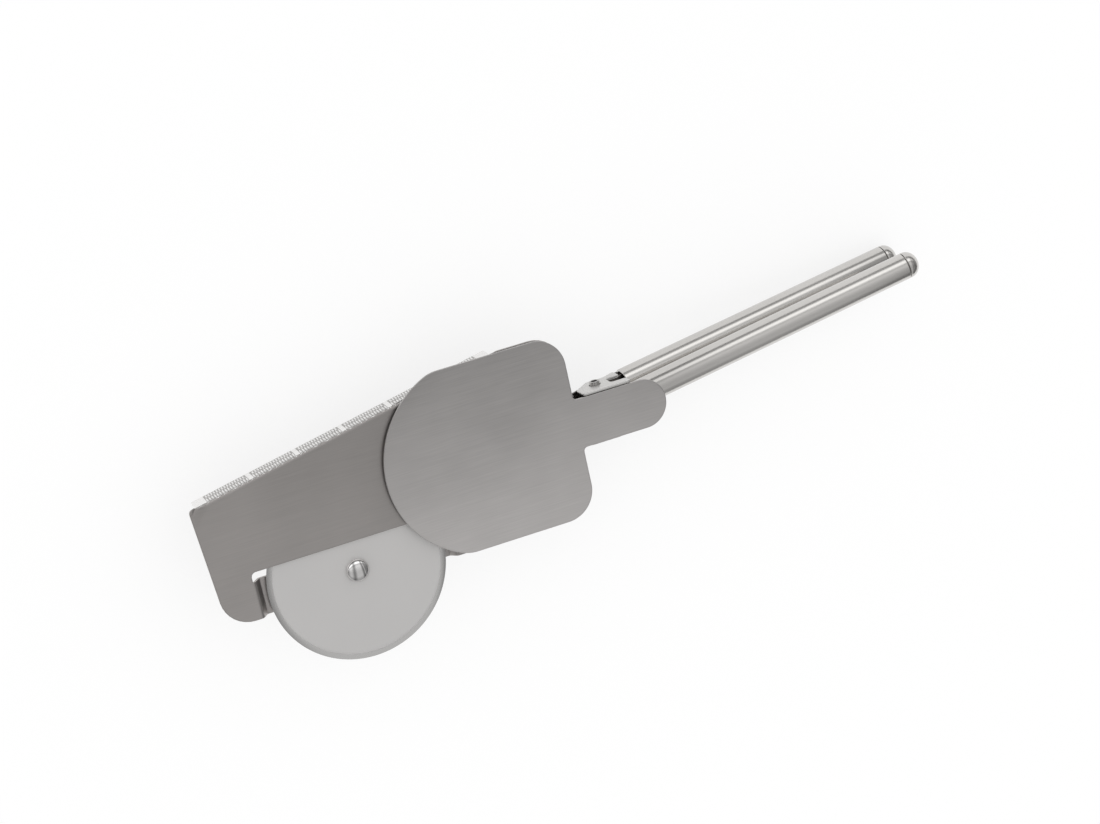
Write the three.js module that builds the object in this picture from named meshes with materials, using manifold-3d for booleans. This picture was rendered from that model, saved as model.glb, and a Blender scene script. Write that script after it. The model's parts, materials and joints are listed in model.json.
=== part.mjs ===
// Pizza cutter with a server jaw: two stamped steel arms on one sprung pivot,
// a free cutting wheel under the long plate, and a tube handle on each arm.
import * as THREE from 'three';
import { mergeVertices } from 'three/addons/utils/BufferGeometryUtils.js';
import Module from 'manifold-3d';

const wasm = await Module();
wasm.setup();

// Driving dimensions in millimetres. x runs to the handles, y to the grater edge,
// z to the server side. The wheel centre is x = y = 0, the plate's front face z = 0.
const SHEET = 1.0;
const CLEAR = 0.3;
const AXIS_Y = 29.9;
const HALF_HEIGHT = 36.4;
const RIGHT_X = 96.0;
const CORNER_R = 12.0;

const PLATE_TIP_X = -56.3;
const PLATE_FOOT_X = -52.6;
const PLATE_TIP_Y = 41.8;
const PLATE_FOOT_R = 11.5;
const GRATER_END_X = 71.0;
const GRATER_DEPTH = 8.5;
const GRATER_GROUPS = 6;
const GRATER_RIBS = 16;
const RIB_PITCH = 1.1;
const RIB_HEIGHT = 0.55;
const RIB_GROUP_GAP = 2.9;

const SLIT_TOP = 11.75;
const SLIT_BOTTOM = 8.1;
const SLIT_HALF = 38.5;
const BRIDGE_DEPTH = 3.2;
const BRIDGE_FOOT = 39.8;
const BRIDGE_FLAT = 35.6;

const WHEEL_R = 35.0;
const WHEEL_THICK = 0.8;
const WHEEL_BEVEL = 2.2;
const WHEEL_EDGE = 0.16;
const WHEEL_BORE_R = 2.3;
const WHEEL_FRONT_Z = -1.4;
const SHANK_R = 2.0;
const RIVET_HEAD_R = 4.1;
const RIVET_DOME = 2.3;
const RIVET_TAIL_R = 3.4;
const RIVET_TAIL_H = 1.1;
const WASHER_R = 4.6;

const PADDLE_Z = 1.2;
const PADDLE_LEFT_X = 17.8;
const PADDLE_BULGE = 2.1;
const PADDLE_BLEND_R = 14.0;
const NECK_HALF = 9.5;
const NECK_FILLET = 2.5;
const TAB_END_X = 132.5;

const PIN_X = 108.0;
const PIN_Z = -5.5;
const PIN_R = 2.0;
const PIN_BORE_R = 1.25;
const PIN_HEAD_R = 2.7;
const PIN_PROUD = 2.0;
const EAR_R = 4.4;
const SLEEVE_R = 2.95;
const COIL_R = 3.8;
const WIRE_R = 0.4;
const COIL_TURNS = 5;
const COIL_PITCH = 2.1;
const COIL_LEG = 9.5;

const FLANGE_THICK = 1.2;
const FLANGE_TOP_Z = 2.7;
const FLANGE_END_X = 120.0;
const LIP_LEFT_X = 86.0;

const TUBE_R = 5.25;
const TUBE_WALL = 0.8;
const TUBE_LENGTH = 118.0;
const TUBE_END_R = 4.6;
const TONGUE_WIDTH = 7.8;
const TONGUE_THICK = 1.2;
const TONGUE_INSIDE = 14.0;
const FRONT_TUBE = { x: 124.0, y: 32.2, z: -5.0, rise: 9.7, lift: 3.5 };
const REAR_TUBE = { x: 127.0, y: 34.4, z: -20.2, rise: 7.2, lift: -3.0 };

const PADDLE_ARC_R = HALF_HEIGHT + PADDLE_BULGE;
const FLANGE_IN = NECK_HALF + CLEAR;
const FLANGE_OUT = FLANGE_IN + FLANGE_THICK;
const TUBE_BORE_R = TUBE_R - TUBE_WALL;
const rad = THREE.MathUtils.degToRad;

/** Merge a geometry's vertices into one closed manifold body, wound outwards. */
function solid(geometry) {
  const bare = geometry.index ? geometry.toNonIndexed() : geometry.clone();
  bare.deleteAttribute('normal');
  bare.deleteAttribute('uv');
  const merged = mergeVertices(bare, 1e-5);
  const points = merged.attributes.position.array;
  const faces = [];
  let volume = 0;
  for (let i = 0; i < merged.index.count; i += 3) {
    const [a, b, c] = [0, 1, 2].map((k) => merged.index.getX(i + k));
    if (a === b || b === c || a === c) continue;
    faces.push(a, b, c);
    const [p, q, r] = [a, b, c].map((k) => new THREE.Vector3().fromArray(points, 3 * k));
    volume += p.dot(q.cross(r));
  }
  if (volume < 0) faces.reverse();
  return new wasm.Manifold(new wasm.Mesh({
    numProp: 3,
    vertProperties: new Float32Array(points),
    triVerts: new Uint32Array(faces),
  }));
}

/** Extrude an x-y shape from z0 to z1. */
function alongZ(shape, z0, z1, segments = 12) {
  const options = { depth: z1 - z0, bevelEnabled: false, curveSegments: segments };
  return solid(new THREE.ExtrudeGeometry(shape, options).translate(0, 0, z0));
}

/** Extrude an x-z shape from y0 to y1. */
function alongY(shape, y0, y1, segments = 10) {
  const options = { depth: y1 - y0, bevelEnabled: false, curveSegments: segments };
  return solid(new THREE.ExtrudeGeometry(shape, options).rotateX(Math.PI / 2).translate(0, y1, 0));
}

/** Turn [radius, height] points about the z axis. */
function lathe(points, segments) {
  const profile = points.map(([r, h]) => new THREE.Vector2(r, h));
  return new THREE.LatheGeometry(profile, segments).rotateX(Math.PI / 2);
}

/** Make a closed shape from [x, y, corner radius] points. */
function rounded(corners) {
  const shape = new THREE.Shape();
  corners.forEach(([x, y, radius = 0], i) => {
    const here = new THREE.Vector2(x, y);
    const before = corners.at(i - 1);
    const after = corners[(i + 1) % corners.length];
    const back = new THREE.Vector2(before[0] - x, before[1] - y).normalize();
    const ahead = new THREE.Vector2(after[0] - x, after[1] - y).normalize();
    const half = Math.acos(THREE.MathUtils.clamp(back.dot(ahead), -1, 1)) / 2;
    const reach = radius / Math.tan(half);
    const start = here.clone().addScaledVector(back, reach);
    const end = here.clone().addScaledVector(ahead, reach);
    if (i === 0) shape.moveTo(start.x, start.y);
    else shape.lineTo(start.x, start.y);
    if (radius > 0) {
      const inward = back.clone().add(ahead).normalize();
      const centre = here.clone().addScaledVector(inward, radius / Math.sin(half));
      const from = start.clone().sub(centre).angle();
      const to = end.clone().sub(centre).angle();
      shape.absarc(centre.x, centre.y, radius, from, to, back.cross(ahead) > 0);
    }
  });
  shape.closePath();
  return shape;
}

/** Make a strip of even thickness on the right-hand side of a path of [x, y] points. */
function ribbon(path, thickness) {
  const points = path.map(([x, y]) => new THREE.Vector2(x, y));
  const offset = points.map((point, i) => {
    const a = points[Math.max(i - 1, 0)];
    const b = points[Math.min(i + 1, points.length - 1)];
    const one = (i > 0 ? point.clone().sub(a) : b.clone().sub(point)).normalize();
    const two = (i < points.length - 1 ? b.clone().sub(point) : point.clone().sub(a)).normalize();
    const normal = new THREE.Vector2(one.y + two.y, -one.x - two.x).normalize();
    const mitre = normal.x * one.y - normal.y * one.x;
    return point.clone().addScaledVector(normal, thickness / mitre);
  });
  return new THREE.Shape([...points, ...offset.reverse()]);
}

/** Cut a round hole along y through a body at the pivot. */
function pivotHole(radius, y0, y1) {
  const circle = new THREE.Shape().absarc(PIN_X, PIN_Z, radius, 0, 2 * Math.PI);
  return alongY(circle, y0, y1, 16);
}

/** Join two quads of four corner points each into a six-sided body. */
function wedge(first, second) {
  const points = [...first, ...second].flat();
  const quads = [[0, 3, 2, 1], [4, 5, 6, 7], [0, 1, 5, 4], [1, 2, 6, 5], [2, 3, 7, 6], [3, 0, 4, 7]];
  const index = quads.flatMap(([a, b, c, d]) => [a, b, c, a, c, d]);
  const geometry = new THREE.BufferGeometry();
  geometry.setAttribute('position', new THREE.Float32BufferAttribute(points, 3));
  geometry.setIndex(index);
  return solid(geometry);
}

/** The matrix that lays a body built along x onto a handle's axis. */
function handleMatrix(handle) {
  const turn = new THREE.Euler(0, rad(-handle.lift), rad(handle.rise), 'ZYX');
  const matrix = new THREE.Matrix4().makeRotationFromEuler(turn);
  return matrix.setPosition(handle.x, handle.y, handle.z);
}

/** The outline shared by both jaws at the handle end, from the lower to the upper right corner. */
function rightEnd(shape) {
  const low = AXIS_Y - HALF_HEIGHT;
  const high = AXIS_Y + HALF_HEIGHT;
  const x = RIGHT_X - CORNER_R;
  shape.lineTo(x, low);
  shape.absarc(x, low + CORNER_R, CORNER_R, -Math.PI / 2, 0);
  return { x, high };
}

/** Long plate with its slit, pressed bridge and folded grater edge, as one sheet. */
function cutterPlate() {
  const low = AXIS_Y - HALF_HEIGHT;
  const high = AXIS_Y + HALF_HEIGHT;
  const sheet = alongZ(rounded([
    [PLATE_TIP_X, PLATE_TIP_Y, 2],
    [PLATE_FOOT_X, low, PLATE_FOOT_R],
    [RIGHT_X, low, CORNER_R],
    [RIGHT_X, high, CORNER_R],
    [GRATER_END_X, high, 4],
  ]), -SHEET, 0);
  const half = (SLIT_TOP - SLIT_BOTTOM) / 2;
  const slit = alongZ(rounded([
    [-SLIT_HALF, SLIT_BOTTOM - 1],
    [SLIT_HALF, SLIT_BOTTOM - 1],
    [SLIT_HALF, SLIT_TOP, half],
    [-SLIT_HALF, SLIT_TOP, half],
  ]), -SHEET - 1, 1);
  const span = BRIDGE_FOOT + 0.6;
  const gap = alongZ(rounded([
    [-span, low - 2],
    [span, low - 2],
    [span, SLIT_BOTTOM],
    [-span, SLIT_BOTTOM],
  ]), -SHEET - 1, 1);
  const bridge = alongY(ribbon([
    [-span - 0.8, 0],
    [-BRIDGE_FOOT, 0],
    [-BRIDGE_FLAT, -BRIDGE_DEPTH],
    [BRIDGE_FLAT, -BRIDGE_DEPTH],
    [BRIDGE_FOOT, 0],
    [span + 0.8, 0],
  ], SHEET), low, SLIT_BOTTOM);
  const hole = alongZ(new THREE.Shape().absarc(0, 0, SHANK_R + CLEAR, 0, 2 * Math.PI), -9, 2, 16);
  return sheet.subtract(slit).subtract(gap).add(bridge).subtract(hole).add(graterEdge());
}

/** Flange folded back along the sloping top edge, with rows of raised grating ribs. */
function graterEdge() {
  const high = AXIS_Y + HALF_HEIGHT;
  const run = new THREE.Vector2(GRATER_END_X - PLATE_TIP_X, high - PLATE_TIP_Y);
  const length = run.length();
  const place = new THREE.Matrix4().makeRotationZ(run.angle()).setPosition(PLATE_TIP_X, PLATE_TIP_Y, 0);
  const flange = new THREE.Shape([
    new THREE.Vector2(0, 0),
    new THREE.Vector2(-0.6, 0),
    new THREE.Vector2(-SHEET, -0.4),
    new THREE.Vector2(-SHEET, -GRATER_DEPTH),
    new THREE.Vector2(0, -GRATER_DEPTH),
  ]);
  const first = 3.0;
  const last = length - 2.5;
  const options = { depth: last - first, bevelEnabled: false };
  const fold = new THREE.ExtrudeGeometry(mirrored(flange), options);
  fold.applyMatrix4(new THREE.Matrix4().makeBasis(
    new THREE.Vector3(0, 1, 0), new THREE.Vector3(0, 0, 1), new THREE.Vector3(1, 0, 0)));
  fold.translate(first, -SHEET, 0);
  const bodies = [solid(fold.applyMatrix4(place))];
  const group = (GRATER_RIBS - 1) * RIB_PITCH;
  const whole = GRATER_GROUPS * group + (GRATER_GROUPS - 1) * RIB_GROUP_GAP;
  const begin = (first + last - whole) / 2;
  const middle = GRATER_DEPTH / 2;
  for (let g = 0; g < GRATER_GROUPS; g += 1) {
    for (let i = 0; i < GRATER_RIBS; i += 1) {
      const x = begin + g * (group + RIB_GROUP_GAP) + i * RIB_PITCH;
      bodies.push(rib(x, -0.6, 0.4 - middle, place));
      if (i < GRATER_RIBS - 1) bodies.push(rib(x + RIB_PITCH / 2, -0.4 - middle, 0.7 - GRATER_DEPTH, place));
    }
  }
  return wasm.Manifold.union(bodies);
}

/** Mirror a shape's points so that its first axis runs the other way. */
function mirrored(shape) {
  return new THREE.Shape(shape.getPoints().map((p) => new THREE.Vector2(-p.x, p.y)).reverse());
}

/** One grating rib: a ridge across the flange from z0 back to z1. */
function rib(x, z0, z1, place) {
  const foot = -0.3;
  const half = 0.36;
  const slope = 0.5;
  const points = [
    [x - half, foot, z0], [x + half, foot, z0], [x, RIB_HEIGHT, z0 - slope],
    [x - half, foot, z1], [x + half, foot, z1], [x, RIB_HEIGHT, z1 + slope],
  ];
  const geometry = new THREE.BufferGeometry();
  geometry.setAttribute('position', new THREE.Float32BufferAttribute(points.flat(), 3));
  geometry.setIndex([0, 1, 2, 3, 5, 4, 0, 3, 4, 0, 4, 1, 1, 4, 5, 1, 5, 2, 2, 5, 3, 2, 3, 0]);
  return solid(geometry.applyMatrix4(place));
}

/** Thin disc with a bevelled cutting rim. */
function cuttingWheel() {
  const back = WHEEL_FRONT_Z - WHEEL_THICK;
  const middle = (WHEEL_FRONT_Z + back) / 2;
  return solid(lathe([
    [WHEEL_BORE_R, back],
    [WHEEL_R - WHEEL_BEVEL, back],
    [WHEEL_R, middle - WHEEL_EDGE / 2],
    [WHEEL_R, middle + WHEEL_EDGE / 2],
    [WHEEL_R - WHEEL_BEVEL, WHEEL_FRONT_Z],
    [WHEEL_BORE_R, WHEEL_FRONT_Z],
    [WHEEL_BORE_R, back],
  ], 96));
}

/** Domed rivet with its tail spread behind the bridge. */
function wheelRivet() {
  const under = WHEEL_FRONT_Z + CLEAR;
  const behind = -BRIDGE_DEPTH - SHEET;
  const dome = [];
  for (let i = 0; i <= 8; i += 1) {
    const t = (i / 8) * (Math.PI / 2);
    dome.push([RIVET_HEAD_R * Math.cos(t), under + 0.4 + (RIVET_DOME - 0.4) * Math.sin(t)]);
  }
  return solid(lathe([
    [0, behind - RIVET_TAIL_H],
    [RIVET_TAIL_R - 0.6, behind - RIVET_TAIL_H],
    [RIVET_TAIL_R, behind - RIVET_TAIL_H + 0.6],
    [RIVET_TAIL_R, behind],
    [SHANK_R, behind],
    [SHANK_R, under],
    [RIVET_HEAD_R, under],
    ...dome.slice(0, -1),
    [0, under + RIVET_DOME],
  ], 40));
}

/** Washer that keeps the wheel off the bridge. */
function wheelWasher() {
  const front = WHEEL_FRONT_Z - WHEEL_THICK - CLEAR;
  return solid(lathe([
    [SHANK_R + CLEAR, -BRIDGE_DEPTH],
    [WASHER_R, -BRIDGE_DEPTH],
    [WASHER_R, front],
    [SHANK_R + CLEAR, front],
    [SHANK_R + CLEAR, -BRIDGE_DEPTH],
  ], 32));
}

/** Server jaw with its neck, round tab and two ears folded back round the pivot. */
function serverPaddle() {
  const centre = PADDLE_LEFT_X + PADDLE_ARC_R;
  const dy = HALF_HEIGHT - PADDLE_BLEND_R;
  const dx = -Math.sqrt((PADDLE_ARC_R - PADDLE_BLEND_R) ** 2 - dy ** 2);
  const turn = Math.atan2(dy, dx);
  const shape = new THREE.Shape();
  shape.moveTo(centre + dx, AXIS_Y + HALF_HEIGHT);
  shape.absarc(centre + dx, AXIS_Y + dy, PADDLE_BLEND_R, Math.PI / 2, turn);
  shape.absarc(centre, AXIS_Y, PADDLE_ARC_R, turn, 2 * Math.PI - turn);
  shape.absarc(centre + dx, AXIS_Y - dy, PADDLE_BLEND_R, 2 * Math.PI - turn, 1.5 * Math.PI);
  const { x, high } = rightEnd(shape);
  const neck = RIGHT_X + NECK_FILLET;
  const fillet = NECK_HALF + NECK_FILLET;
  shape.absarc(neck, AXIS_Y - fillet, NECK_FILLET, Math.PI, Math.PI / 2, true);
  shape.absarc(TAB_END_X - NECK_HALF, AXIS_Y, NECK_HALF, -Math.PI / 2, Math.PI / 2);
  shape.absarc(neck, AXIS_Y + fillet, NECK_FILLET, 1.5 * Math.PI, Math.PI, true);
  shape.absarc(x, high - CORNER_R, CORNER_R, 0, Math.PI / 2);
  const blade = alongZ(shape, PADDLE_Z, PADDLE_Z + SHEET, 16);
  const ear = rounded([
    [PIN_X - EAR_R, PADDLE_Z + SHEET / 2],
    [PIN_X - EAR_R, PIN_Z - EAR_R, EAR_R - 0.1],
    [PIN_X + EAR_R, PIN_Z - EAR_R, EAR_R - 0.1],
    [PIN_X + EAR_R + 3, PADDLE_Z + SHEET / 2],
  ]);
  const near = alongY(ear, AXIS_Y - NECK_HALF, AXIS_Y - NECK_HALF + SHEET);
  const far = alongY(ear, AXIS_Y + NECK_HALF - SHEET, AXIS_Y + NECK_HALF);
  const hole = pivotHole(PIN_R + CLEAR, AXIS_Y - 20, AXIS_Y + 20);
  return blade.add(near).add(far).subtract(hole);
}

/** Channel behind the long plate: lip, sloping web, two pronged flanges and the rear tongue. */
function rearBracket() {
  const inner = [
    [LIP_LEFT_X, -SHEET],
    [PIN_X - 9.2, -SHEET],
    [PIN_X - 5.4, PIN_Z - 5.9],
    [FLANGE_END_X + 1.5, PIN_Z - 11.1],
  ];
  const web = alongY(ribbon(inner, SHEET), AXIS_Y - FLANGE_IN - 0.2, AXIS_Y + FLANGE_IN + 0.2);
  const outline = rounded([
    [PIN_X - 8.6, FLANGE_TOP_Z, 0.8],
    [PIN_X - 8.6, PIN_Z + 3.2, 1],
    [PIN_X - 6.05, PIN_Z - 6.77, 1.4],
    [FLANGE_END_X + 1.23, PIN_Z - 12.06, 0.5],
    [FLANGE_END_X + 1.5, PIN_Z - 7.6, 0.8],
    [PIN_X + 6.6, PIN_Z - 5.4, 2.2],
    [PIN_X + 6.6, PIN_Z + 1.5, 2.2],
    [FLANGE_END_X, PIN_Z + 1.5, 1],
    [FLANGE_END_X, FLANGE_TOP_Z, 1],
  ]);
  const near = alongY(outline, AXIS_Y - FLANGE_OUT, AXIS_Y - FLANGE_IN);
  const far = alongY(outline, AXIS_Y + FLANGE_IN, AXIS_Y + FLANGE_OUT);
  const hole = pivotHole(PIN_R + CLEAR, AXIS_Y - 20, AXIS_Y + 20);
  const end = inner.at(-1);
  const root = [end[0] - 1.2, end[1] - SHEET / 2 + 0.2];
  return web.add(near).add(far).subtract(hole).add(tongue(REAR_TUBE, root, AXIS_Y + 3.2));
}

/** Flat tongue from a bracket's edge at [x, z] into the mouth of a handle tube. */
function tongue(handle, [x, z], y) {
  const matrix = handleMatrix(handle);
  const w = TONGUE_WIDTH / 2;
  const t = TONGUE_THICK / 2;
  const section = (along) => [[along, -w, -t], [along, w, -t], [along, w, t], [along, -w, t]]
    .map((point) => new THREE.Vector3(...point).applyMatrix4(matrix).toArray());
  const root = [[x, y - w, z - 0.4], [x, y + w, z - 0.4], [x, y + w, z + 0.4], [x, y - w, z + 0.4]];
  return wedge(root, section(-1.2)).add(wedge(section(-1.2), section(TONGUE_INSIDE)));
}

/** Strip welded under the server's tab that steps down into the front handle tube. */
function frontTongue() {
  const y = (AXIS_Y + FRONT_TUBE.y) / 2;
  const w = TONGUE_WIDTH / 2;
  const z = PADDLE_Z;
  const left = PIN_X + EAR_R + 0.8;
  const right = FRONT_TUBE.x - 5.2;
  const ends = (x) => [[x, y - w, z - 1], [x, y + w, z - 1], [x, y + w, z], [x, y - w, z]];
  return wedge(ends(left), ends(right)).add(tongue(FRONT_TUBE, [right - 0.4, z - 0.5], y));
}

/** Hollow handle tube along its axis. */
function handleTube(handle) {
  return solid(lathe([
    [TUBE_BORE_R, 0],
    [TUBE_R, 0],
    [TUBE_R, TUBE_LENGTH],
    [TUBE_BORE_R, TUBE_LENGTH],
    [TUBE_BORE_R, 0],
  ], 32).rotateY(Math.PI / 2).applyMatrix4(handleMatrix(handle)));
}

/** Domed cap whose spigot plugs the free end of a handle tube. */
function handleCap(handle) {
  const seat = TUBE_LENGTH + CLEAR;
  const profile = [[0, seat - 8], [TUBE_BORE_R - CLEAR, seat - 8], [TUBE_BORE_R - CLEAR, seat], [TUBE_R, seat]];
  for (let i = 0; i < 8; i += 1) {
    const t = (i / 8) * (Math.PI / 2);
    profile.push([TUBE_R * Math.cos(t), seat + 0.6 + TUBE_END_R * Math.sin(t)]);
  }
  profile.push([0, seat + 0.6 + TUBE_END_R]);
  return solid(lathe(profile, 32).rotateY(Math.PI / 2).applyMatrix4(handleMatrix(handle)));
}

/** Hollow pivot pin whose flared ends stand proud of the bracket. */
function pivotPin() {
  const face = FLANGE_OUT + CLEAR;
  const end = FLANGE_OUT + PIN_PROUD;
  const profile = [
    [PIN_BORE_R, -end], [PIN_HEAD_R - 0.4, -end], [PIN_HEAD_R, -end + 0.4], [PIN_HEAD_R, -face],
    [PIN_R, -face], [PIN_R, face], [PIN_HEAD_R, face], [PIN_HEAD_R, end - 0.4],
    [PIN_HEAD_R - 0.4, end], [PIN_BORE_R, end], [PIN_BORE_R, -end],
  ];
  return solid(lathe(profile, 28).rotateX(-Math.PI / 2).translate(PIN_X, AXIS_Y, PIN_Z));
}

/** Sleeve over the pin that keeps the ears apart inside the spring. */
function pivotSleeve() {
  const half = NECK_HALF - SHEET - CLEAR;
  const bore = PIN_R + CLEAR;
  const profile = [[bore, -half], [SLEEVE_R, -half], [SLEEVE_R, half], [bore, half], [bore, -half]];
  return solid(lathe(profile, 24).rotateX(-Math.PI / 2).translate(PIN_X, AXIS_Y, PIN_Z));
}

/** Path of the torsion spring: one leg under the tab, the coils, one leg towards the web. */
class SpringPath extends THREE.Curve {
  constructor() {
    super();
    this.start = Math.PI / 2;
    this.sweep = 2 * Math.PI * COIL_TURNS + rad(152);
    this.coil = COIL_R * this.sweep;
  }

  onCoil(angle) {
    const turns = (angle - this.start) / (2 * Math.PI);
    const y = AXIS_Y + (turns - this.sweep / (4 * Math.PI)) * COIL_PITCH;
    return new THREE.Vector3(PIN_X + COIL_R * Math.cos(angle), y, PIN_Z + COIL_R * Math.sin(angle));
  }

  getPoint(t, target = new THREE.Vector3()) {
    const along = t * (this.coil + 2 * COIL_LEG) - COIL_LEG;
    const turned = THREE.MathUtils.clamp(along / COIL_R, 0, this.sweep);
    const angle = this.start + turned;
    const spare = along - turned * COIL_R;
    target.copy(this.onCoil(angle));
    target.x -= Math.sin(angle) * spare;
    target.z += Math.cos(angle) * spare;
    return target;
  }
}

/** Torsion spring, one unbroken wire; prints the least gap between its coils. */
function pivotSpring() {
  const path = new SpringPath();
  const steps = Math.round((8 * (path.coil + 2 * COIL_LEG)) / (2 * Math.PI * COIL_R));
  const points = path.getSpacedPoints(8 * steps);
  let least = Infinity;
  points.forEach((p, i) => {
    for (let j = i + 32; j < points.length; j += 1) least = Math.min(least, p.distanceTo(points[j]));
  });
  console.log(`pivot_spring least gap to itself ${(least - 2 * WIRE_R).toFixed(2)} mm`);
  const section = new THREE.Shape(Array.from({ length: 5 }, (_, k) => {
    const turn = (2 * Math.PI * k) / 5;
    return new THREE.Vector2(WIRE_R * Math.cos(turn), WIRE_R * Math.sin(turn));
  }));
  return solid(new THREE.ExtrudeGeometry(section, { steps, extrudePath: path, bevelEnabled: false }));
}

/** Wrap a closed body as a named mesh with its own material. */
function mesh(name, body, color, roughness) {
  const data = body.getMesh();
  const geometry = new THREE.BufferGeometry();
  geometry.setAttribute('position', new THREE.Float32BufferAttribute(data.vertProperties, 3));
  geometry.setIndex(Array.from(data.triVerts));
  geometry.computeVertexNormals();
  const material = new THREE.MeshStandardMaterial({ color, roughness, metalness: 1 });
  const result = new THREE.Mesh(geometry, material);
  result.name = name;
  return result;
}

const cutter = new THREE.Group();
cutter.name = 'pizza_cutter';
cutter.add(
  mesh('cutter_plate', cutterPlate(), 0x9d9996, 0.42),
  mesh('rear_bracket', rearBracket(), 0xb4b1ae, 0.38),
  mesh('rear_handle_tube', handleTube(REAR_TUBE), 0xc4c2bf, 0.24),
  mesh('rear_handle_cap', handleCap(REAR_TUBE), 0xc0bebb, 0.26),
  mesh('wheel_rivet', wheelRivet(), 0xd0cfcd, 0.14),
  mesh('wheel_washer', wheelWasher(), 0xaaa8a5, 0.4),
  mesh('cutting_wheel', cuttingWheel(), 0xc9c7c5, 0.3),
  mesh('server_paddle', serverPaddle(), 0xa8a5a2, 0.4),
  mesh('front_tongue', frontTongue(), 0xa5a29f, 0.42),
  mesh('front_handle_tube', handleTube(FRONT_TUBE), 0xc4c2bf, 0.24),
  mesh('front_handle_cap', handleCap(FRONT_TUBE), 0xc0bebb, 0.26),
  mesh('pivot_pin', pivotPin(), 0xcac8c5, 0.22),
  mesh('pivot_sleeve', pivotSleeve(), 0xa19e9b, 0.4),
  mesh('pivot_spring', pivotSpring(), 0x8f8c8a, 0.35),
);

// The row's origin is the middle of the underside of the whole part.
const box = new THREE.Box3().setFromObject(cutter);
const middle = box.getCenter(new THREE.Vector3());
cutter.children.forEach((child) => child.geometry.translate(-middle.x, -middle.y, -box.min.z));

export default cutter;
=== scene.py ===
"""Dressed model of a pizza cutter with a server jaw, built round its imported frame."""
import json
import logging
from dataclasses import dataclass
from enum import Enum

import bpy
import numpy as np
from mathutils import Matrix
from mathutils.geometry import delaunay_2d_cdt


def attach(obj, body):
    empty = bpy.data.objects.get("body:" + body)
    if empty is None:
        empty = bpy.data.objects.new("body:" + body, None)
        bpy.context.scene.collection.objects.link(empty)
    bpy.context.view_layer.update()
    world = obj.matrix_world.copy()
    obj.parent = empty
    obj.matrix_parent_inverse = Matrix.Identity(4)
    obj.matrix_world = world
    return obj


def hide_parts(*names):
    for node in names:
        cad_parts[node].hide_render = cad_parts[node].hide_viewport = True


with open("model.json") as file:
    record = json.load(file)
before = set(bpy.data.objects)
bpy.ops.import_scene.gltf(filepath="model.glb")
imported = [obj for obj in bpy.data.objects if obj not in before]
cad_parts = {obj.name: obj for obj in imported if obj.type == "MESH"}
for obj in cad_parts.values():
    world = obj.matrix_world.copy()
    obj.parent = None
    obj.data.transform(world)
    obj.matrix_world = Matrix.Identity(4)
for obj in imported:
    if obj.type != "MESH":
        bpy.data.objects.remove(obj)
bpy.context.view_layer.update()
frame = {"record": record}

LOG = logging.getLogger("pizza_cutter")
Array = np.ndarray
Corner = tuple[float, float, float]

MM = 0.001
INSIDE_WITH_HOLES = 2
MERGE_DISTANCE = 1e-6


class Body(Enum):
    """The three rigid bodies of the tool."""

    CUTTER = "cutter_arm"
    SERVER = "server_arm"
    WHEEL = "wheel"


class Slot(Enum):
    """The material slots of the tool's record."""

    PLATE = "plate_steel"
    SERVER = "server_steel"
    BRACKET = "bracket_steel"
    WHEEL = "wheel_steel"
    POLISHED = "polished_steel"
    TUBE = "tube_steel"
    SPRING = "spring_steel"


class Grain(Enum):
    """How the marks of a finish run over a surface."""

    LENGTHWISE = "lengthwise"
    EVEN = "even"


@dataclass
class Surface:
    """Points in millimetres and the faces between them, each array of faces with its own corner count."""

    points: Array
    faces: list[Array]

    def turned(self, matrix: Array, offset: Array | tuple[float, float, float] = (0, 0, 0)) -> "Surface":
        """Return a copy turned by a 3 x 3 matrix and then moved by an offset."""
        return Surface(self.points @ np.asarray(matrix, float).T + np.asarray(offset, float), self.faces)

    def joined(self, *others: "Surface") -> "Surface":
        """Gather this surface and others into one, each keeping its own faces.

        Args:
            others: The surfaces to add.

        Returns:
            One surface with the points of all and their faces renumbered.
        """
        every = [self, *others]
        starts = np.cumsum([0] + [len(each.points) for each in every[:-1]])
        faces = [block + start for each, start in zip(every, starts) for block in each.faces]
        return Surface(np.concatenate([each.points for each in every]), faces)


def unit(vectors: Array) -> Array:
    """Return vectors scaled to length one along their last axis."""
    return vectors / np.linalg.norm(vectors, axis=-1, keepdims=True)


def left_of(directions: Array) -> Array:
    """Return plane directions turned a quarter to the left."""
    return np.stack([-directions[..., 1], directions[..., 0]], axis=-1)


def arc(centre: tuple[float, float], radius: float, start: float, end: float, step: float = 5.0) -> Array:
    """Points on a circle about a centre, from one angle to another.

    Args:
        centre: Middle of the circle.
        radius: Its radius.
        start: First angle in degrees.
        end: Last angle in degrees, lower than the first to run clockwise.
        step: Largest angle between points, in degrees.

    Returns:
        An array of points, centre + radius (cos a, sin a).
    """
    count = max(2, int(np.ceil(abs(end - start) / step)) + 1)
    angle = np.radians(np.linspace(start, end, count))
    return np.array(centre) + radius * np.stack([np.cos(angle), np.sin(angle)], axis=1)


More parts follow.
